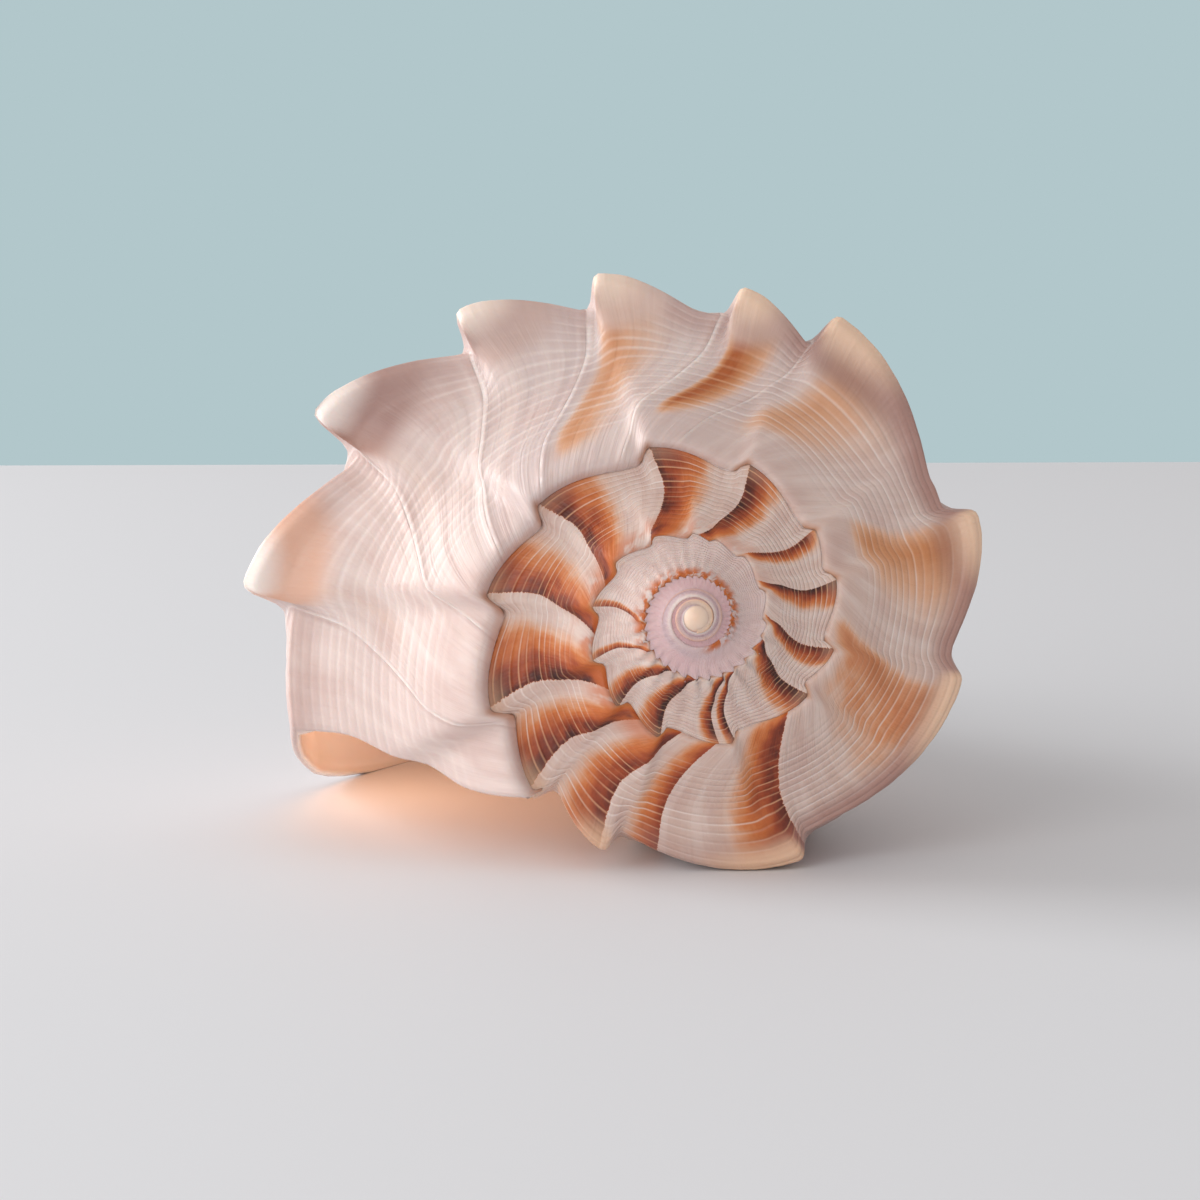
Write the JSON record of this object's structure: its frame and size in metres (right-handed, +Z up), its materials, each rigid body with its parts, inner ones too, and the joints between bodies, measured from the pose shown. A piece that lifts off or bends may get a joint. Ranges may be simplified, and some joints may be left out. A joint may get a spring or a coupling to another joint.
{
  "type": "lightning whelk shell",
  "caption": "Left-handed spiral sea snail shell with a spiny shoulder, a wide aperture and a long tapering canal, lying on its aperture.",
  "frame": {"origin": "centre of the underside of the shell's box, on the surface that the shell lies on", "axes": "+Z up as the shell lies on its aperture, +Y along its length from the spire to the tip of the canal"},
  "size_m": [0.0786, 0.1284, 0.0617],
  "materials": {
    "shell": "satin"
  },
  "bodies": {
    "root": {"shell": "shell"}
  },
  "joints": []
}
